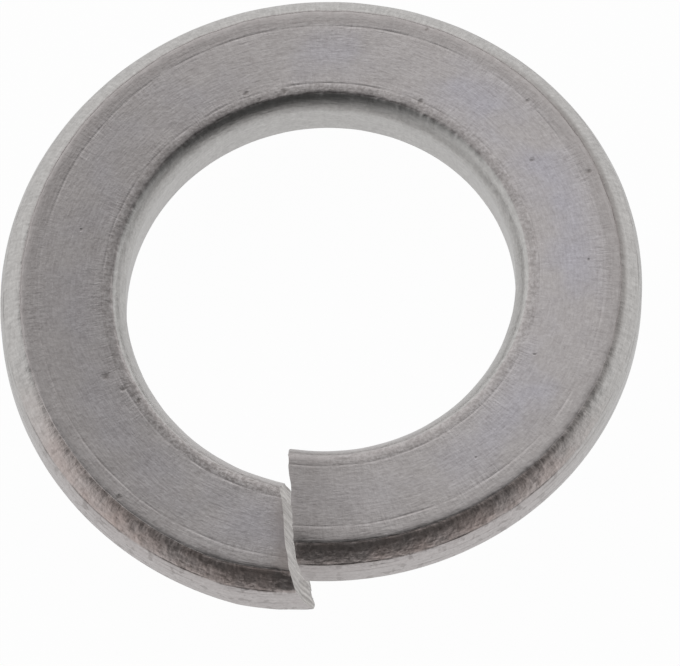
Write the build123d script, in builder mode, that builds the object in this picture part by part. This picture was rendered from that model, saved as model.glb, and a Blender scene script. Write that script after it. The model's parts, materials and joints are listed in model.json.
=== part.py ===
from build123d import *
from math import radians
import os

# Spring lock washer for an M12 bolt: one turn of flat-rolled wire, wound as a left-hand helix,
# sheared through on a slant and left standing apart by its own spring set.
#
# Millimetres. +Z is the bolt axis. The origin is on that axis, level with the washer's lowest
# point. The shear faces -Y: the low end is on its -X side and the raised end on its +X side.

# Driving dimensions: the washer.
bore_diameter = 12.4  # free bore, over a 12 mm shank
wire_width = 4.0  # radial, from the bore to the rim
wire_thickness = 2.35
free_height = 5.2  # unloaded, over the low end and the raised end

# Driving dimensions: the rolled section. Each side is one crowned arc from flat to flat. Winding
# presses the top of the crown back to a narrow upright land at the bore and at the rim.
inner_edge_run = 0.40  # radial, from the bore land to the edge of the flat
outer_edge_run = 0.65  # radial, from the rim land to the edge of the flat
inner_crown_pressed = 0.12
outer_crown_pressed = 0.05

# Driving dimensions: the shear.
shear_gap = 0.83  # between the two sheared faces, midway across and up the wire
raised_face_slant = 11.0  # degrees the raised end's face leans from the axis
raised_face_skew = 8.4  # degrees it turns from a true radius, seen from above
low_face_slant = 16.0  # as above, for the low end's face: the ends have sprung out of parallel
low_face_skew = 10.4
spare_wire = 12.0  # degrees wound past the shear, which trims it off

# Sizes that follow.
bore_radius = bore_diameter / 2
rim_radius = bore_radius + wire_width
coil_radius = (bore_radius + rim_radius) / 2
coil_rise = free_height - wire_thickness  # climb of one whole turn
half_thickness = wire_thickness / 2
reach = 2 * rim_radius  # taller than the washer
trim_size = 2 * (wire_width + wire_thickness)  # wider than the wire's section
trim_reach = 2 * rim_radius * radians(spare_wire)  # longer than the spare wire

# The wire's section, in the upright plane through +X: local X is the radius.
with BuildSketch(Plane.XZ) as section:
    with BuildLine():
        inner_edge = bore_radius + inner_edge_run
        outer_edge = rim_radius - outer_edge_run
        inner_crown = (bore_radius - inner_crown_pressed, 0)
        outer_crown = (rim_radius + outer_crown_pressed, 0)
        top = Line((inner_edge, half_thickness), (outer_edge, half_thickness))
        ThreePointArc(top @ 1, outer_crown, (outer_edge, -half_thickness))
        bottom = Line((outer_edge, -half_thickness), (inner_edge, -half_thickness))
        ThreePointArc(bottom @ 1, inner_crown, top @ 0)
    make_face()


def sheared_face(slant, skew, from_middle):
    """The plane of a sheared face while the shear faces -X, looking from the low end to the raised end.
    It leans back over the low end as it rises, and turns away from a true radius towards the rim.
    """
    looks = Vector(0, -1, 0).rotate(Axis.X, -slant).rotate(Axis.Z, skew)
    return Plane(origin=(-coil_radius, -from_middle, 0), z_dir=looks)


def trim_spare_wire(face, amount):
    """Cuts the spare wire off at a sheared face, on the side that the amount's sign gives."""
    with BuildSketch(face) as beyond:
        Rectangle(trim_size, trim_size)
    extrude(beyond.sketch, amount=amount, mode=Mode.SUBTRACT)


# Half a turn and some spare, climbing from the back, at +X, by way of -Y.
with BuildPart() as half_turn:
    with BuildLine():
        climb = coil_rise * (0.5 + spare_wire / 360)
        Helix(pitch=coil_rise, height=climb, radius=coil_radius, lefthand=True)
    add(section.sketch)
    sweep(is_frenet=True)

# One half runs on up to the raised end.
with BuildPart() as raised_half:
    add(half_turn.part)
    raised_face = sheared_face(raised_face_slant, raised_face_skew, shear_gap / 2)
    trim_spare_wire(raised_face, -trim_reach)

# Turned over, the same half runs down to the low end, by way of +Y.
with BuildPart() as low_half:
    add(half_turn.part, rotation=(180, 0, 0))
    low_face = sheared_face(low_face_slant, low_face_skew, -shear_gap / 2)
    trim_spare_wire(low_face, trim_reach)

# The halves meet face to face at the back. The crowns are pressed to the bore and the rim.
with BuildPart() as turn:
    add(raised_half.part)
    add(low_half.part)
    Cylinder(radius=rim_radius, height=reach, mode=Mode.INTERSECT)
    Cylinder(radius=bore_radius, height=reach, mode=Mode.SUBTRACT)

# The finished washer, turned so that the shear faces -Y, stands on its low end at Z = 0.
with BuildPart() as spring_lock_washer:
    with Locations((0, 0, -turn.part.bounding_box().min.Z)):
        add(turn.part, rotation=(0, 0, 90))

spring_lock_washer.part.label = "spring_lock_washer"

if __name__ == "__main__":
    os.makedirs("parts", exist_ok=True)
    export_step(spring_lock_washer.part, "parts/spring_lock_washer.step")
    print("size", spring_lock_washer.part.bounding_box().size)
    print("bore centre height", -turn.part.bounding_box().min.Z)
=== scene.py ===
import json
import math
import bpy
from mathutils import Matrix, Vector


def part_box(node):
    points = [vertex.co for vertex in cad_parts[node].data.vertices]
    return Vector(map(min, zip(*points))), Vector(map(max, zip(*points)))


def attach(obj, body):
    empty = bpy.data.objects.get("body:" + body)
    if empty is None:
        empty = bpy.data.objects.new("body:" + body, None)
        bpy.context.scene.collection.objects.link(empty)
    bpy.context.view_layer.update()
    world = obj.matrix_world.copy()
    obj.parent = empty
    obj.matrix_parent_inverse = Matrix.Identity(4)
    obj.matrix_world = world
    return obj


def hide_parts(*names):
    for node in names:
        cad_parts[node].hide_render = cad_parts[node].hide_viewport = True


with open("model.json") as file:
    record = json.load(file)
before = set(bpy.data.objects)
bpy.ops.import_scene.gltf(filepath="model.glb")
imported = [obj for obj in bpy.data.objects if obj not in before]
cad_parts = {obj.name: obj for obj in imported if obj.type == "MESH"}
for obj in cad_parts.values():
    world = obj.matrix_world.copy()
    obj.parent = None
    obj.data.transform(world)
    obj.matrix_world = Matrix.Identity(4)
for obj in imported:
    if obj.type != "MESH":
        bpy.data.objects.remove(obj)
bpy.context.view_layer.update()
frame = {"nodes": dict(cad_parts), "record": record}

from types import SimpleNamespace

import bpy
import numpy as np
from mathutils import Matrix, Vector

# Lengths in this script are millimetres until a mesh or camera is made, in metres. Node materials
# work in millimetres too, from the object's own coordinates scaled up.
MM = 0.001
NODE = "spring_lock_washer"

# ---------------------------------------------------------------- The washer, read from the frame

low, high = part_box(NODE)
rim_radius = (high.x - low.x) / 2 / MM
bore_mount = next(m for m in frame["record"]["mounts"] if m["name"] == "bore")
bore_radius = bore_mount["dims"]["r_mm"]

cad_mesh = frame["nodes"][NODE].data
cad_points = np.array([v.co for v in cad_mesh.vertices]) / MM
SAME_PLACE = 0.001

# The two halves of the CAD solid meet at the back, so its vertices there outline the section.
at_back = (np.abs(cad_points[:, 0]) < SAME_PLACE) & (cad_points[:, 1] > 0)
section = cad_points[at_back]
mid_height = (section[:, 2].max() + section[:, 2].min()) / 2
half_thickness = (section[:, 2].max() - section[:, 2].min()) / 2
top_of_section = section[section[:, 2] > section[:, 2].max() - SAME_PLACE]
flat_inner = top_of_section[:, 1].min()
flat_outer = top_of_section[:, 1].max()
coil_radius = (bore_radius + rim_radius) / 2


def turn_angle(x, y):
    """How far round the turn a point is: 0 at -Y, growing clockwise seen from above."""
    return math.atan2(-x, -y)


# The raised tip is the highest point, and gives the climb of one whole turn.
tip = cad_points[cad_points[:, 2].argmax()]
tip_climb = tip[2] - mid_height - half_thickness
coil_rise = tip_climb / (0.5 + turn_angle(tip[0], tip[1]) / math.tau)


NEAR_SHEAR = 1.5  # how far to either side of the shear its two faces can be
FACES_ALONG = 0.8  # least share of a sheared face's normal that points along the wire


def sheared_face(side):
    """Centre and outward normal of a sheared face of the CAD: 1 is the low end's, -1 the raised end's."""
    faces = [
        f for f in cad_mesh.polygons
        if f.normal.x * side > FACES_ALONG and abs(f.center.x) / MM < NEAR_SHEAR and f.center.y < 0
    ]
    area = sum(f.area for f in faces)
    centre = sum((f.center * f.area for f in faces), Vector()) / area / MM
    normal = sum((f.normal * f.area for f in faces), Vector()).normalized()
    return np.array(centre), np.array(normal)


# ---------------------------------------------------------------- The wire's section

# The crowned sides are pressed back to an upright land: by this much at the bore and at the rim.
INNER_CROWN_PRESSED = 0.12
OUTER_CROWN_PRESSED = 0.05

# Drawing left the rim side in two facets each way, parted by a crease this far from mid-height.
CREASE_HEIGHT = 0.66
FACET_FLATTENED = 0.03

# Radii where each flat carries a rolled line, with a lip pushed up beside it.
INNER_LINE = 6.95
OUTER_LINE = 8.99
LINE_HALF_WIDTH = 0.035
LINE_DEPTH = 0.0048

ACROSS_FLAT = 48  # steps across each flat
DOWN_SIDE = 30  # steps down each side
ALONG_WIRE = 580  # steps along the turn
CROWDING = 6  # how much closer the steps across a flat are at its edges and lines
CROWDED_WITHIN = 0.07

# Where each long edge of the wire starts in the loop round its section.
CORNERS = [0, ACROSS_FLAT, ACROSS_FLAT + DOWN_SIDE, 2 * ACROSS_FLAT + DOWN_SIDE]


def crowned_side(land, edge, pressed, steps, flattened=0.0):
    """(radius, height) down one side of the wire, from its upper edge to its lower edge."""
    bulge = abs(land - edge) + pressed
    arc = (half_thickness ** 2 + bulge ** 2) / (2 * bulge)
    outwards = 1 if land > edge else -1
    points = []
    for step in range(steps + 1):
        # Closer steps by the edges, where the light changes fastest.
        height = half_thickness * math.cos(math.pi * step / steps)
        crown = math.sqrt(arc ** 2 - height ** 2) - (arc - bulge)
        facet = (abs(height) - CREASE_HEIGHT) / (half_thickness - CREASE_HEIGHT)
        if 0 < facet < 1:
            crown -= 4 * flattened * facet * (1 - facet)
        points.append((edge + outwards * min(crown, abs(land - edge)), height))
    return points


def flat_radii():
    """Radii across the upper flat, closer together at its edges and at the rolled lines."""
    radii = np.linspace(flat_inner, flat_outer, 2001)
    crowd = np.full_like(radii, 1.0)
    for centre in (flat_inner, INNER_LINE, OUTER_LINE, flat_outer):
        crowd += CROWDING * np.exp(-((radii - centre) / CROWDED_WITHIN) ** 2)
    share = np.concatenate([[0], np.cumsum(crowd[1:])])
    return np.interp(np.linspace(0, share[-1], ACROSS_FLAT + 1), share, radii)


def section_loop():
    """The section once round: upper flat outwards, rim side down, lower flat inwards, bore side up."""
    radii = flat_radii()
    outer = crowned_side(rim_radius, flat_outer, OUTER_CROWN_PRESSED, DOWN_SIDE, FACET_FLATTENED)
    inner = crowned_side(bore_radius, flat_inner, INNER_CROWN_PRESSED, DOWN_SIDE)
    loop = [(r, half_thickness) for r in radii[:-1]]
    loop += outer[:-1]
    loop += [(r, -half_thickness) for r in radii[:0:-1]]
    loop += inner[:0:-1]
    return np.array(loop)


def loop_outwards(loop):
    """Unit vectors pointing out of the section at every point of its loop."""
    ahead = np.roll(loop, -1, axis=0) - np.roll(loop, 1, axis=0)
    outwards = np.stack([-ahead[:, 1], ahead[:, 0]], -1)
    return outwards / np.hypot(*outwards.T)[:, None]


def loop_lengths(loop):
    """Distance round the loop from its first point, with the whole way round as the last value."""
    steps = np.hypot(*(np.roll(loop, -1, axis=0) - loop).T)
    return np.concatenate([[0], np.cumsum(steps)])


# ---------------------------------------------------------------- The turn

def point_on_turn(radius, height, angle):
    """A point of the turn in space, height being measured from the middle of the wire."""
    z = mid_height + height + coil_rise * (angle / math.tau - 0.5)
    return np.array([-radius * math.sin(angle), -radius * math.cos(angle), z])


def angle_at_face(radius, height, centre, normal, start):
    """The turn angle at which a line along the wire meets a sheared face, by Newton's method."""
    angle = start
    ahead = 1e-4
    for _ in range(8):
        miss = (point_on_turn(radius, height, angle) - centre) @ normal
        slope = ((point_on_turn(radius, height, angle + ahead) - centre) @ normal - miss) / ahead
        angle -= miss / slope
    return angle


# A burr stands out of the low end's lower rim corner, and another of the raised end's upper bore corner.
LOW_BURR = 0.16  # how far each stands out along the wire
RAISED_BURR = 0.07
LOW_BURR_HEIGHT = -0.75
LOW_BURR_RADII = 9.0, 9.8  # it grows over these
BURR_SPREAD = 0.4

# The steps along the wire aren't quite even: a little closer at both ends and at the back.
UNEVEN_STEPS = 0.00225


def turn_grid(loop):
    """Angles of every grid point, with one row for each step along the wire."""
    low_face, raised_face = sheared_face(1), sheared_face(-1)
    starts = np.array([angle_at_face(r, h, *low_face, 0.0) for r, h in loop])
    ends = np.array([angle_at_face(r, h, *raised_face, math.tau) for r, h in loop])

    radius, height = loop.T
    low_corner = np.exp(-((height - LOW_BURR_HEIGHT) / BURR_SPREAD) ** 2)
    low_corner = low_corner * smooth_step(radius, *LOW_BURR_RADII)
    raised_corner = np.exp(-((height - half_thickness) / BURR_SPREAD) ** 2)
    raised_corner = raised_corner * np.exp(-(radius - bore_radius) / BURR_SPREAD)
    starts -= LOW_BURR * low_corner / radius
    ends += RAISED_BURR * raised_corner / radius

    even = np.linspace(0, 1, ALONG_WIRE + 1)
    share = (even - UNEVEN_STEPS * np.sin(math.tau * 2 * even))[:, None]
    return starts + (ends - starts) * share


def ripple(angles, seed, slowest, fastest, count=14):
    """An uneven wave round the turn, about -1 to 1, repeating between slowest and fastest times a turn."""
    chance = np.random.default_rng(seed)
    wave = np.zeros_like(angles)
    for _ in range(count):
        times = chance.integers(slowest, fastest + 1)
        wave = wave + np.sin(times * angles + chance.uniform(0, math.tau))
    return wave / math.sqrt(count)


def smooth_step(value, start, end):
    share = np.clip((value - start) / (end - start), 0, 1)
    return share * share * (3 - 2 * share)


# The steel is slightly uneven all over, and more finely so on the crowned sides.
SLOW_UNEVENNESS = 0.003
SIDE_UNEVENNESS = 0.0006

# The four long edges are worn towards the middle of the wire.
WORN = 0.034
WORN_UNEVENLY = 0.007
WORN_FINELY = 0.004
LEAST_WORN = 0.008
WORN_WITHIN = 0.085
WORN_DOWN = 1.6  # times as much in height as in radius

LINE_WANDER = 0.012  # how far a rolled line strays from its radius
LIP_OUTSIDE = 1.7  # half-widths from the middle of a rolled line to its lip


def worn_section(loop, angles):
    """Radius and height of every grid point, with the rolled lines, worn edges and sheared ends."""
    radius = np.broadcast_to(loop[:, 0], angles.shape).copy()
    height = np.broadcast_to(loop[:, 1], angles.shape).copy()
    outwards = loop_outwards(loop)
    push = np.zeros_like(radius)

    # A rolled line is a groove with a lip on its outer side, deeper in some places than in others.
    flat = np.abs(loop[:, 1]) > half_thickness - SAME_PLACE
    for seed, line in ((1, INNER_LINE), (2, OUTER_LINE)):
        strength = 0.75 + 0.45 * ripple(angles, seed, 2, 40)
        wander = LINE_WANDER * ripple(angles, seed + 10, 3, 24)
        away = (radius - line - wander) / LINE_HALF_WIDTH
        profile = 0.5 * np.exp(-(away - LIP_OUTSIDE) ** 2) - np.exp(-away ** 2)
        push += LINE_DEPTH * strength * profile * flat

    push += SLOW_UNEVENNESS * ripple(angles, 3, 6, 40) * np.cos(3 * loop[:, 0] + loop[:, 1])
    push += SIDE_UNEVENNESS * ripple(angles, 4, 60, 200) * ~flat
    radius += push * outwards[:, 0]
    height += push * outwards[:, 1]

    middle = np.array([coil_radius, 0])
    for seed, corner in enumerate(CORNERS, 20):
        away = np.hypot(*(loop - loop[corner]).T)
        inwards = (middle - loop[corner]) / np.hypot(*(middle - loop[corner]))
        worn = WORN + WORN_UNEVENLY * ripple(angles, seed, 5, 50)
        worn += WORN_FINELY * ripple(angles, seed + 5, 60, 240)
        worn = np.clip(worn, LEAST_WORN, None) * np.exp(-away / WORN_WITHIN)
        radius += worn * inwards[0]
        height += worn * inwards[1] * WORN_DOWN
    return sheared_ends(radius, height, angles, loop)


# The low end's rim side was drawn in and flattened as it was sheared.
DRAWN_IN = 0.18  # at the sheared face
DRAWN_IN_FOR = 2.3  # along the wire
DRAWN_IN_WITHIN = 1.0  # of the flat's outer edge
FLATTENED_TO = 9.86  # radius of the flattened rim at the sheared face
CROWN_LEFT = 0.15  # share of the crown left past that radius

# Both cuts pulled their edges over: each by this much, fading over this distance along the wire.
LOW_UPPER_EDGE = 0.07, 0.28
LOW_LOWER_EDGE = 0.03, 0.2
RAISED_UPPER_EDGE = 0.035, 0.12
RAISED_RIM_CORNER = 0.05, 0.5
RIM_CORNER_SPREAD = 0.35


def pulled_over(amount, fade, from_face):
    return amount * np.exp(-from_face / fade)


def sheared_ends(radius, height, angles, loop):
    """The shape that the shear left within a few millimetres of each end."""
    from_low = (angles - angles[0]) * radius
    from_raised = (angles[-1] - angles) * radius

    drawn = DRAWN_IN * np.clip(1 - from_low / DRAWN_IN_FOR, 0, 1)
    radius -= drawn * smooth_step(loop[:, 0], flat_outer - DRAWN_IN_WITHIN, flat_outer)
    flattened = FLATTENED_TO + (rim_radius - FLATTENED_TO) * from_low / DRAWN_IN_FOR
    untouched = (loop[:, 0] < coil_radius) | (radius < flattened)
    radius = np.where(untouched, radius, flattened + CROWN_LEFT * (radius - flattened))

    upper = smooth_step(loop[:, 1], 0, half_thickness)
    lower = smooth_step(-loop[:, 1], 0, half_thickness)
    rim_corner = np.exp(-((loop[:, 0] - flat_outer) / RIM_CORNER_SPREAD) ** 2) * upper
    height -= pulled_over(*LOW_UPPER_EDGE, from_low) * upper
    height -= pulled_over(*RAISED_UPPER_EDGE, from_raised) * upper
    height -= pulled_over(*RAISED_RIM_CORNER, from_raised) * rim_corner
    height += pulled_over(*LOW_LOWER_EDGE, from_low) * lower
    return radius, height


def wire_points(loop, angles):
    """Every grid point in space, kept inside the CAD's box."""
    radius, height = worn_section(loop, angles)
    x = -radius * np.sin(angles)
    y = -radius * np.cos(angles)
    z = mid_height + height + coil_rise * (angles / math.tau - 0.5)
    points = rough_cuts(np.stack([x, y, z], -1))
    return np.clip(points, np.array(low) / MM, np.array(high) / MM)


# The cuts' grain is taken from far away in the noise, so that it doesn't carry on from the sides'.
CUT_GRAIN_FROM = -1000
CUT_GRAIN_ALONG = 0.25


def wire_sides(loop, angles):
    """The quads round the wire, and each corner's place on it: along, across, and 0 for not a cut."""
    rows, across = angles.shape
    lengths = loop_lengths(loop)
    faces = []
    places = []
    for i in range(rows - 1):
        for j in range(across):
            k = (j + 1) % across
            faces.append((i * across + j, i * across + k, (i + 1) * across + k, (i + 1) * across + j))
            here, ahead = angles[i, j] * coil_radius, angles[i + 1, j] * coil_radius
            places += [(here, lengths[j], 0), (here, lengths[j + 1], 0)]
            places += [(ahead, lengths[j + 1], 0), (ahead, lengths[j], 0)]
    return faces, places


def wire_mesh(name):
    """The washer's finished surface, with the attributes that its steel reads."""
    loop = section_loop()
    angles = turn_grid(loop)
    points = wire_points(loop, angles)
    rows, across = angles.shape
    faces, places = wire_sides(loop, angles)
    vertices = list(points.reshape(-1, 3))
    regions = [
        (math.degrees(angle), radius, height)
        for row in angles for angle, (radius, height) in zip(row, loop)
    ]
    for row, flip in ((0, True), (rows - 1, False)):
        first_cut_face = len(faces)
        add_sheared_face(vertices, faces, points[row], row * across, flip)
        for face in faces[first_cut_face:]:
            for vertex in face:
                _, y, z = vertices[vertex]
                places.append((z * CUT_GRAIN_ALONG, CUT_GRAIN_FROM - y, 1))
    regions += [(0, coil_radius, 0)] * (len(vertices) - len(regions))

    mesh = bpy.data.meshes.new(name)
    mesh.from_pydata([tuple(p * MM) for p in vertices], [], faces)
    wire = mesh.attributes.new("wire", "FLOAT_VECTOR", "CORNER")
    wire.data.foreach_set("vector", np.array(places, dtype=np.float32).ravel())
    region = mesh.attributes.new("region", "FLOAT_VECTOR", "POINT")
    region.data.foreach_set("vector", np.array(regions, dtype=np.float32).ravel())
    piece = bpy.data.objects.new(name, mesh)
    bpy.context.scene.collection.objects.link(piece)
    return piece


def rough_cuts(points):
    """Moves the rims of the two sheared faces along the wire a little unevenly."""
    chance = np.random.default_rng(31)
    count = points.shape[1]
    round_loop = np.arange(count) / count * math.tau
    for row, inner in ((0, 1), (-1, -2)):
        uneven = np.zeros(count)
        for times in range(3, 26):
            uneven += chance.normal() * np.sin(times * round_loop + chance.uniform(0, math.tau))
        along = points[inner] - points[row]
        steps = np.linalg.norm(along, axis=1)
        along /= steps[:, None]
        # Less than half a step, so that no quad folds over.
        reach = 0.4 * steps.min()
        points[row] += along * (reach * np.tanh(0.2 * uneven))[:, None]
    return points


# The first part of a cut is smooth and streaked; below it the steel broke away rougher.
STREAK = 0.012
BROKEN_BELOW = 0.45  # share of the way down the cut
BROKEN_EDGE_WAVE = 0.06
BROKEN_DEEPER = 0.02
BROKEN_ROUGHNESS = 0.012


def add_sheared_face(vertices, faces, rim, first, flip):
    """Fills one end of the wire with a grid stretched between its four sides."""
    chance = np.random.default_rng(5)
    n, m = ACROSS_FLAT, DOWN_SIDE
    top_inner, top_outer, bottom_outer, bottom_inner = CORNERS
    index = {}
    for i in range(n + 1):
        index[i, 0] = first + i
        index[i, m] = first + bottom_inner - i
    for j in range(m + 1):
        index[n, j] = first + n + j
        index[0, j] = first + (bottom_inner + m - j) % len(rim)
    streaks = chance.normal(0, 1, n + 1)
    streaks = np.convolve(streaks, [0.25, 0.5, 0.25], "same")
    for i in range(1, n):
        for j in range(1, m):
            u, v = i / n, j / m
            top, bottom = rim[i], rim[bottom_inner - i]
            outer, inner = rim[n + j], rim[(bottom_inner + m - j) % len(rim)]
            blend = (1 - v) * top + v * bottom + (1 - u) * inner + u * outer
            blend -= (1 - u) * (1 - v) * rim[top_inner] + u * (1 - v) * rim[top_outer]
            blend -= u * v * rim[bottom_outer] + (1 - u) * v * rim[bottom_inner]
            broken = v > BROKEN_BELOW + BROKEN_EDGE_WAVE * math.sin(9 * u)
            dent = STREAK * streaks[i]
            dent += broken * (BROKEN_DEEPER + BROKEN_ROUGHNESS * chance.normal())
            fade = min(1, 6 * u, 6 * (1 - u), 6 * v, 6 * (1 - v))
            blend[0] += (-dent if flip else dent) * fade
            index[i, j] = len(vertices)
            vertices.append(blend)
    for i in range(n):
        for j in range(m):
            quad = (index[i, j], index[i + 1, j], index[i + 1, j + 1], index[i, j + 1])
            faces.append(quad[::-1] if flip else quad)


# ---------------------------------------------------------------- Steel

class Nodes:
    """A node tree with short ways to add the few kinds of node that the materials use."""

    def __init__(self, tree):
        self.tree = tree

    def new(self, kind, **settings):
        node = self.tree.nodes.new("ShaderNode" + kind)
        for name, value in settings.items():
            setattr(node, name, value)
        return node

    def feed(self, socket, value):
        if isinstance(value, bpy.types.NodeSocket):
            self.tree.links.new(value, socket)
        else:
            socket.default_value = value

    def math(self, operation, first, second=0.0):
        node = self.new("Math", operation=operation)
        self.feed(node.inputs[0], first)
        self.feed(node.inputs[1], second)
        return node.outputs[0]

    def add(self, first, second):
        return self.math("ADD", first, second)

    def times(self, first, second):
        return self.math("MULTIPLY", first, second)

    def vector(self, operation, first, second):
        node = self.new("VectorMath", operation=operation)
        self.feed(node.inputs[0], first)
        self.feed(node.inputs[1], second)
        return node.outputs[0]

    def new_separate(self, vector):
        node = self.new("SeparateXYZ")
        self.feed(node.inputs[0], vector)
        return node

    def swing(self, noise, amount):
        """A noise made to run either side of 0, half of amount each way."""
        return self.times(self.add(noise, -0.5), amount)

    def most(self, first, *others):
        """The largest of several values."""
        largest = first
        for other in others:
            largest = self.math("MAXIMUM", largest, other)
        return largest

    def noise(self, place, scale, detail=2.0, roughness=0.5):
        node = self.new("TexNoise")
        self.feed(node.inputs["Vector"], place)
        self.feed(node.inputs["Scale"], scale)
        self.feed(node.inputs["Detail"], detail)
        self.feed(node.inputs["Roughness"], roughness)
        return node.outputs["Fac"]

    def ramp(self, value, start, end, low_value=0.0, high_value=1.0):
        node = self.new("MapRange", interpolation_type="SMOOTHSTEP")
        self.feed(node.inputs["Value"], value)
        self.feed(node.inputs["From Min"], start)
        self.feed(node.inputs["From Max"], end)
        self.feed(node.inputs["To Min"], low_value)
        self.feed(node.inputs["To Max"], high_value)
        return node.outputs["Result"]

    def bell(self, value, centre, half_width):
        """1 where value is at centre, falling to 0 half_width away on either side."""
        away = self.math("ABSOLUTE", self.add(value, -centre))
        return self.ramp(away, half_width, 0.0)

    def mix(self, share, first, second):
        node = self.new("Mix", data_type="RGBA")
        self.feed(node.inputs["Factor"], share)
        self.feed(node.inputs[6], first)
        self.feed(node.inputs[7], second)
        return node.outputs[2]


# Noise places: features per millimetre along the wire, across it, and between the sides and the cuts.
DRAWN = (1.1, 8.0, 1.0)
FINE_DRAWN = (3.5, 15.0, 1.0)
BRUSHED = (12.0, 1.9, 1.0)
TORN = (1.2, 9.0, 1.0)
LINES_WANDER = (0.7, 0.2, 1.0)
LINES_COME_AND_GO = (0.8, 4.0, 1.0)

# Noise through the steel: features per millimetre.
GRIT = 9.5
COARSE_GRIT = 3.6
MOTTLE = 0.9
PATCHES = 0.42
PATCHES_FROM = (31.0, 7.0, 2.0)  # keeps the patches apart from the mottle

# How far each grain moves the colour along its run from dark to light.
TONE = {"drawn": 0.4, "fine_drawn": 0.5, "grit": 0.7, "coarse_grit": 0.3, "mottle": 0.22}
BRUSHED_TONE = 0.8
TORN_TONE = 1.6

# Colours: the dark and the light end of each run.
WARM = (0.40, 0.367, 0.362, 1), (0.74, 0.707, 0.70, 1)
RIM_GREY = (0.385, 0.375, 0.365, 1), (0.76, 0.75, 0.735, 1)
BLUE = (0.39, 0.37, 0.405, 1), (0.715, 0.70, 0.765, 1)
BROWN = (0.40, 0.325, 0.30, 1), (0.78, 0.675, 0.64, 1)
TORN_METAL = (0.30, 0.28, 0.268, 1), (0.79, 0.765, 0.74, 1)
# Colour of the dull marks, and of the painted shade on the right rim edge, the left flat and the back
# band.
DULL_AND_SHADE_MARK = (0.20, 0.175, 0.165, 1)
DARK_MARK = (0.13, 0.11, 0.10, 1)

# How much of the mark's own colour each dull mark, each painted shade and each dark mark takes.
INNER_STRIP_DULLED = 0.2
# Painted shade along the rounded rim edge on the right side.
RIGHT_EDGE_PAINTED_SHADE = 0.5
# Darker towards the raised end.
LAST_OF_WIRE_DARKENED = 0.24
# Painted shade: the flat darker towards the left.
LEFT_FLAT_PAINTED_SHADE = 0.06
# Painted shade in the band outside the outer rolled line, towards the back.
BACK_BAND_PAINTED_SHADE = 0.18
BLOTCHES_DULLED = 0.42
PITS_DARKENED = 0.5
DRAW_LINES_DARKENED = 0.5
FLAT_LINES_DARKENED = 0.15

# Relief, in millimetres of height.
DRAWN_RELIEF = 0.0045
GRIT_RELIEF = 0.0045
BRUSHED_RELIEF = 0.008
COARSE_RELIEF = 0.004
COARSE_RELIEF_ON_RIM = 0.026  # more again on the rim side
DRAW_LINE_RELIEF = -0.010
PIT_RELIEF = -0.009

ROUGHNESS = 0.33
MOTTLE_ROUGHNESS = 0.16
GRIT_ROUGHNESS = 0.14
SHOULDER_ROUGHNESS = 0.05
CUT_ROUGHNESS = 0.08

# Pits: degrees round the turn, radius on the upper flat, and half-width.
PITS = (
    (133, 6.5, 0.09), (165, 6.83, 0.08), (155, 7.06, 0.06), (158, 6.7, 0.06), (202, 6.99, 0.06),
    (62, 7.36, 0.09), (57, 7.03, 0.07), (52, 6.8, 0.06), (37, 9.37, 0.06), (234, 7.84, 0.06),
    (222, 9.03, 0.06), (242, 9.26, 0.07), (196, 9.41, 0.05), (100, 7.9, 0.035),
    (288, 7.4, 0.04), (318, 8.2, 0.035), (262, 8.5, 0.035),
)
PIT_BEND = 0.22  # how far the pits' outlines are pulled about
PIT_BEND_SCALE = 4

# Draw lines down the rim side: height from the middle of the wire, half-width, and depth.
DRAW_LINES = (
    (0.64, 0.04, 0.9), (0.5, 0.035, 0.5), (0.34, 0.05, 0.7), (0.09, 0.035, 0.4),
    (-0.1, 0.05, 0.8), (-0.47, 0.055, 0.6), (-0.62, 0.04, 0.7),
)

# Lines round the flats: radius, half-width, and depth.
FLAT_LINES = (
    (INNER_LINE, 0.035, 1.0), (OUTER_LINE, 0.035, 1.0), (8.78, 0.02, 0.5), (8.62, 0.018, 0.35),
    (9.2, 0.02, 0.4), (6.8, 0.02, 0.5),
)


def steel_places(nodes):
    """Where a point of the steel is: on the wire, round the turn, in space, and on which of its faces."""
    wire = nodes.new("Attribute", attribute_name="wire").outputs["Vector"]
    region = nodes.new("Attribute", attribute_name="region").outputs["Vector"]
    region = nodes.new_separate(region)
    angle, radius, height = region.outputs
    place = nodes.vector("MULTIPLY", nodes.new("TexCoord").outputs["Object"], (1 / MM, 1 / MM, 1 / MM))
    x, y, _ = nodes.new_separate(place).outputs
    at_flats = half_thickness - 0.03, half_thickness - 0.005
    on_rim_side = nodes.ramp(radius, flat_outer - 0.02, flat_outer + 0.02)
    above_crease = nodes.ramp(height, CREASE_HEIGHT - 0.06, CREASE_HEIGHT + 0.04)
    return SimpleNamespace(
        wire=wire, angle=angle, radius=radius, height=height, place=place, x=x, y=y,
        cut=nodes.new_separate(wire).outputs["Z"],
        on_flat=nodes.ramp(nodes.math("ABSOLUTE", height), *at_flats),
        on_rim_side=on_rim_side,
        shoulder=nodes.times(above_crease, on_rim_side),
        at_front=nodes.ramp(y, -3.0, -8.0, 0.06, 1.0),
    )


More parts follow.
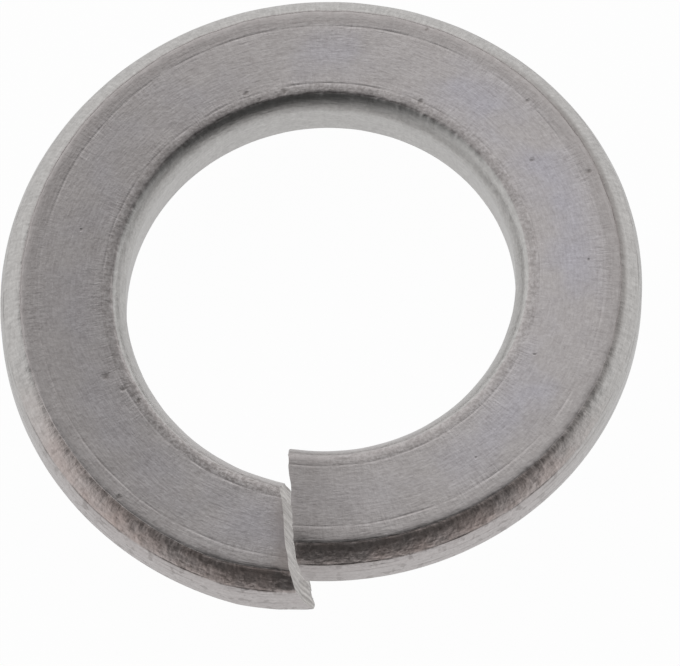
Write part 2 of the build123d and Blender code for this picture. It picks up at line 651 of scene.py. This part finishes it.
def steel_grain(nodes, at):
    """Long drawn streaks, short brush marks square to them, fine grit and slow mottling."""
    patches = nodes.noise(nodes.vector("ADD", at.place, PATCHES_FROM), PATCHES, 2.0, 0.5)
    # Brush marks show most by the two rolled lines, in patches, and all along the shoulder.
    by_lines = nodes.most(
        nodes.bell(at.radius, INNER_LINE + 0.1, 0.45), nodes.bell(at.radius, OUTER_LINE, 0.5))
    in_patches = nodes.times(nodes.ramp(patches, 0.42, 0.62), 0.5)
    brush_share = nodes.most(nodes.add(in_patches, nodes.times(by_lines, 0.5)), at.shoulder)
    return SimpleNamespace(
        drawn=nodes.noise(nodes.vector("MULTIPLY", at.wire, DRAWN), 1.0, 3.0, 0.65),
        fine_drawn=nodes.noise(nodes.vector("MULTIPLY", at.wire, FINE_DRAWN), 1.0, 2.0, 0.6),
        brushed=nodes.noise(nodes.vector("MULTIPLY", at.wire, BRUSHED), 1.0, 2.0, 0.6),
        torn=nodes.noise(nodes.vector("MULTIPLY", at.wire, TORN), 1.0, 3.0, 0.6),
        grit=nodes.noise(at.place, GRIT, 2.0, 0.6),
        coarse_grit=nodes.noise(at.place, COARSE_GRIT, 2.0, 0.5),
        mottle=nodes.noise(at.place, MOTTLE, 3.0, 0.55),
        patches=patches,
        brush_share=brush_share,
    )


def lines_across(nodes, across, lines):
    """The strongest of several parallel lines, each at its own place across the wire."""
    return nodes.most(*(
        nodes.times(nodes.bell(across, centre, half_width), depth) for centre, half_width, depth in lines))


def pitted(nodes, place):
    """1 in the pits and 0 elsewhere, each pit being a ball with its outline pulled about."""
    bend = nodes.new("TexNoise")
    nodes.feed(bend.inputs["Vector"], place)
    bend.inputs["Scale"].default_value = PIT_BEND_SCALE
    bend = nodes.vector("SUBTRACT", bend.outputs["Color"], (0.5, 0.5, 0.5))
    bent = nodes.vector("ADD", place, nodes.vector("MULTIPLY", bend, (PIT_BEND, PIT_BEND, PIT_BEND)))
    pits = []
    for turn, radius, half_width in PITS:
        away = nodes.new("VectorMath", operation="DISTANCE")
        nodes.feed(away.inputs[0], bent)
        nodes.feed(away.inputs[1], point_on_turn(radius, half_thickness, math.radians(turn)))
        pits.append(nodes.ramp(away.outputs["Value"], half_width * 2.0, half_width * 0.2))
    return nodes.most(*pits)


def steel_marks(nodes, at):
    """Pits, draw lines down the rim side and lines round the flats."""
    wander = nodes.noise(nodes.vector("MULTIPLY", at.wire, LINES_WANDER), 1.0)
    wander = nodes.swing(wander, 0.06)
    strength = nodes.noise(nodes.vector("MULTIPLY", at.wire, LINES_COME_AND_GO), 1.0, 3.0)
    strength = nodes.ramp(strength, 0.42, 0.62, 0.1, 1.0)
    draw_lines = lines_across(nodes, nodes.add(at.height, wander), DRAW_LINES)
    flat_lines = lines_across(nodes, nodes.add(at.radius, nodes.times(wander, 0.6)), FLAT_LINES)
    return SimpleNamespace(
        wander=wander,
        pits=pitted(nodes, at.place),
        draw_lines=nodes.times(nodes.times(draw_lines, at.on_rim_side), strength),
        flat_lines=nodes.times(nodes.times(flat_lines, at.on_flat), strength),
    )


def dull_marks_and_painted_shade(nodes, at, grain, marks):
    """How much darker the steel is made: dull in the inner strip and in blotches that rolling and handling
    left, darker towards the raised end, and painted shade on the right rim edge, the left flat and the
    band outside the outer rolled line at the back.
    """
    strip_edge = nodes.add(nodes.times(marks.wander, 1.5), nodes.swing(grain.grit, 0.25))
    strip_edge = nodes.add(at.radius, strip_edge)
    inner_strip = nodes.times(nodes.ramp(strip_edge, INNER_LINE + 0.03, INNER_LINE - 0.12), at.on_flat)
    inner_strip = nodes.times(inner_strip, nodes.ramp(grain.grit, 0.38, 0.62, 1.4, 0.3))
    inner_strip = nodes.times(inner_strip, nodes.ramp(at.angle, 75.0, 30.0, 1.0, 1.7))

    # Painted shade: the upper rim edge darkened towards the right, where the rounded edge falls dark.
    right_rim_painted_shade = nodes.times(nodes.bell(at.radius, flat_outer + 0.06, 0.17), nodes.ramp(at.x, 3.0, 8.0))
    right_rim_painted_shade = nodes.times(right_rim_painted_shade, nodes.ramp(at.height, 0.8, 1.0))
    # Darker over the last part of the wire, towards the raised end, with an uneven start.
    last_of_wire = nodes.ramp(nodes.add(at.angle, nodes.times(grain.mottle, 6.0)), 345.0, 361.0)
    # Painted shade: the flat darkened towards the left side.
    left_flat_painted_shade = nodes.times(nodes.ramp(at.x, -2.0, -8.0), at.on_flat)
    # Painted shade: the band outside the outer rolled line, darker towards the back.
    back_band_painted_shade = nodes.times(nodes.ramp(at.radius, OUTER_LINE, OUTER_LINE + 0.15), at.on_flat)
    back_band_painted_shade = nodes.times(back_band_painted_shade, nodes.ramp(at.y, -4.0, 3.0))
    blotches = nodes.ramp(grain.coarse_grit, 0.54, 0.68)
    blotches = nodes.times(blotches, nodes.times(at.on_rim_side, at.at_front))

    dull_and_shade = nodes.most(
        nodes.times(inner_strip, INNER_STRIP_DULLED),
        nodes.times(right_rim_painted_shade, RIGHT_EDGE_PAINTED_SHADE),
        nodes.times(last_of_wire, LAST_OF_WIRE_DARKENED),
    )
    # The painted shade of the left flat and of the back band is added on top.
    dull_and_shade = nodes.add(dull_and_shade, nodes.times(left_flat_painted_shade, LEFT_FLAT_PAINTED_SHADE))
    dull_and_shade = nodes.add(dull_and_shade, nodes.times(back_band_painted_shade, BACK_BAND_PAINTED_SHADE))
    return nodes.most(dull_and_shade, nodes.times(blotches, BLOTCHES_DULLED))


def steel_colour(nodes, at, grain, marks):
    """Warm grey, bluer in patches on the flats, browner on the shoulder, darker in lines, pits and dull
    marks, with painted shade on the right rim edge, the left flat and the back band.
    """
    tone = 0.5
    for name, amount in TONE.items():
        tone = nodes.add(tone, nodes.swing(getattr(grain, name), amount))
    tone = nodes.add(tone, nodes.times(nodes.swing(grain.brushed, BRUSHED_TONE), grain.brush_share))

    warm_share = nodes.most(at.on_flat, at.at_front)
    colour = nodes.mix(warm_share, nodes.mix(tone, *RIM_GREY), nodes.mix(tone, *WARM))

    mid_flat = nodes.times(nodes.bell(at.radius, (INNER_LINE + OUTER_LINE) / 2, 1.5), at.on_flat)
    blue_share = nodes.times(nodes.ramp(grain.patches, 0.38, 0.6, 0.1, 1.0), mid_flat)
    blue_share = nodes.times(blue_share, nodes.ramp(at.x, -6.0, 6.0, 0.3, 0.8))
    blue_share = nodes.times(blue_share, nodes.ramp(at.angle, 345.0, 290.0, 0.2, 1.0))
    colour = nodes.mix(blue_share, colour, nodes.mix(tone, *BLUE))

    brown_share = nodes.times(at.shoulder, at.at_front)
    brown_share = nodes.times(brown_share, nodes.ramp(grain.mottle, 0.35, 0.65, 0.5, 1.0))
    colour = nodes.mix(brown_share, colour, nodes.mix(tone, *BROWN))

    # Dull marks, with painted shade on the right rim edge, the left flat and the back band.
    colour = nodes.mix(dull_marks_and_painted_shade(nodes, at, grain, marks), colour, DULL_AND_SHADE_MARK)
    dark = nodes.most(
        nodes.times(marks.pits, PITS_DARKENED),
        nodes.times(marks.draw_lines, DRAW_LINES_DARKENED),
        nodes.times(marks.flat_lines, FLAT_LINES_DARKENED),
    )
    colour = nodes.mix(dark, colour, DARK_MARK)
    torn_tone = nodes.add(tone, nodes.swing(grain.torn, TORN_TONE))
    return nodes.mix(at.cut, colour, nodes.mix(torn_tone, *TORN_METAL))


def steel_roughness(nodes, at, grain):
    """Uneven with the grain, and duller on the browned shoulder and the cut faces."""
    rough = nodes.add(ROUGHNESS, nodes.swing(grain.mottle, MOTTLE_ROUGHNESS))
    rough = nodes.add(rough, nodes.swing(grain.grit, GRIT_ROUGHNESS))
    rough = nodes.add(rough, nodes.times(at.shoulder, SHOULDER_ROUGHNESS))
    return nodes.add(rough, nodes.times(at.cut, CUT_ROUGHNESS))


def steel_relief(nodes, at, grain, marks):
    """The normal of a surface with the grain, the draw lines and the pits standing in it."""
    brushed = nodes.times(grain.brushed, grain.brush_share)
    coarse = nodes.add(COARSE_RELIEF, nodes.times(at.on_rim_side, COARSE_RELIEF_ON_RIM))
    relief = nodes.times(nodes.add(grain.drawn, grain.fine_drawn), DRAWN_RELIEF)
    relief = nodes.add(relief, nodes.times(grain.grit, GRIT_RELIEF))
    relief = nodes.add(relief, nodes.times(brushed, BRUSHED_RELIEF))
    relief = nodes.add(relief, nodes.times(grain.coarse_grit, coarse))
    relief = nodes.add(relief, nodes.times(marks.draw_lines, DRAW_LINE_RELIEF))
    relief = nodes.add(relief, nodes.times(marks.pits, PIT_RELIEF))
    bump = nodes.new("Bump")
    bump.inputs["Strength"].default_value = 1.0
    bump.inputs["Distance"].default_value = MM
    nodes.feed(bump.inputs["Height"], relief)
    return bump.outputs["Normal"]


def steel():
    """Plain rolled steel, satin grey."""
    material = bpy.data.materials.new("spring_steel")
    material.use_nodes = True
    nodes = Nodes(material.node_tree)
    shader = material.node_tree.nodes["Principled BSDF"]
    at = steel_places(nodes)
    grain = steel_grain(nodes, at)
    marks = steel_marks(nodes, at)
    shader.inputs["Metallic"].default_value = 1
    nodes.feed(shader.inputs["Base Color"], steel_colour(nodes, at, grain, marks))
    nodes.feed(shader.inputs["Roughness"], steel_roughness(nodes, at, grain))
    nodes.feed(shader.inputs["Normal"], steel_relief(nodes, at, grain, marks))
    return material


washer = wire_mesh("spring_lock_washer_steel")
washer.data.materials.append(steel())
for polygon in washer.data.polygons:
    polygon.use_smooth = True
washer.data.set_sharp_from_angle(angle=math.radians(40))
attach(washer, "root")
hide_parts(NODE)

# ---------------------------------------------------------------- Camera

ELEVATION = math.radians(66.17)
AZIMUTH = math.radians(7.02)
ROLL = math.radians(-1.78)
DISTANCE = 307.9
LENS = 513.8
AIM = Vector((0.738, -1.216, mid_height))


def make_camera():
    back = Vector((
        math.sin(AZIMUTH) * math.cos(ELEVATION),
        -math.cos(AZIMUTH) * math.cos(ELEVATION),
        math.sin(ELEVATION),
    ))
    level = Vector((0, 0, 1)).cross(back).normalized()
    upright = back.cross(level)
    right = level * math.cos(ROLL) + upright * math.sin(ROLL)
    up = upright * math.cos(ROLL) - level * math.sin(ROLL)
    place = (AIM + back * DISTANCE) * MM
    data = bpy.data.cameras.new("camera")
    data.lens = LENS
    data.sensor_width = 36
    data.clip_start = 0.01
    data.clip_end = 10
    camera = bpy.data.objects.new("camera", data)
    camera.matrix_world = Matrix((
        (right.x, up.x, back.x, place.x),
        (right.y, up.y, back.y, place.y),
        (right.z, up.z, back.z, place.z),
        (0, 0, 0, 1),
    ))
    bpy.context.scene.collection.objects.link(camera)
    bpy.context.scene.camera = camera


make_camera()

# ---------------------------------------------------------------- Light, floor and world

# The studio is darkest over the photographer and brightest low down all round.
DARK_TOWARDS = Vector((0.17, -0.64, 0.75)).normalized()
DARK_LEVEL = 0.05
BRIGHT_LEVEL = 0.88


def make_world():
    world = bpy.data.worlds.new("studio")
    bpy.context.scene.world = world
    world.use_nodes = True
    world.node_tree.nodes.clear()
    nodes = Nodes(world.node_tree)
    towards = nodes.new("VectorMath", operation="DOT_PRODUCT")
    nodes.feed(towards.inputs[0], nodes.new("TexCoord").outputs["Generated"])
    towards.inputs[1].default_value = DARK_TOWARDS
    level = nodes.ramp(towards.outputs["Value"], 0.08, 0.93, BRIGHT_LEVEL, DARK_LEVEL)
    light = nodes.new("Background")
    nodes.feed(light.inputs["Color"], level)
    white = nodes.new("Background")
    white.inputs["Color"].default_value = (1, 1, 1, 1)
    seen = nodes.new("MixShader")
    nodes.feed(seen.inputs["Fac"], nodes.new("LightPath").outputs["Is Camera Ray"])
    nodes.feed(seen.inputs[1], light.outputs["Background"])
    nodes.feed(seen.inputs[2], white.outputs["Background"])
    nodes.feed(nodes.new("OutputWorld").inputs["Surface"], seen.outputs["Shader"])


# A pale sweep of card. Part of its white is its own: this much for the camera, and this much for
# the steel's reflections. The rest takes the light and the washer's shadow.
FLOOR_SIZE = 3000
FLOOR_ALBEDO = 0.9
WHITE_TO_CAMERA = 0.975
WHITE_TO_STEEL = 0.7


def make_floor():
    half = FLOOR_SIZE / 2 * MM
    mesh = bpy.data.meshes.new("floor")
    corners = [(-half, -half, 0), (half, -half, 0), (half, half, 0), (-half, half, 0)]
    mesh.from_pydata(corners, [], [(0, 1, 2, 3)])
    floor = bpy.data.objects.new("floor", mesh)
    floor.location.z = low.z
    bpy.context.scene.collection.objects.link(floor)
    material = bpy.data.materials.new("floor_card")
    material.use_nodes = True
    material.node_tree.nodes.clear()
    nodes = Nodes(material.node_tree)
    card = nodes.new("BsdfDiffuse")
    card.inputs["Color"].default_value = (FLOOR_ALBEDO, FLOOR_ALBEDO, FLOOR_ALBEDO, 1)
    white = nodes.new("Emission")
    white.inputs["Color"].default_value = (1, 1, 1, 1)
    rays = nodes.new("LightPath")
    to_camera = nodes.times(rays.outputs["Is Camera Ray"], WHITE_TO_CAMERA)
    to_steel = nodes.times(rays.outputs["Is Glossy Ray"], WHITE_TO_STEEL)
    mix = nodes.new("MixShader")
    nodes.feed(mix.inputs["Fac"], nodes.math("MAXIMUM", to_camera, to_steel))
    nodes.feed(mix.inputs[1], card.outputs["BSDF"])
    nodes.feed(mix.inputs[2], white.outputs["Emission"])
    nodes.feed(nodes.new("OutputMaterial").inputs["Surface"], mix.outputs["Shader"])
    mesh.materials.append(material)


make_world()
make_floor()
bpy.context.scene.view_settings.view_transform = "Standard"
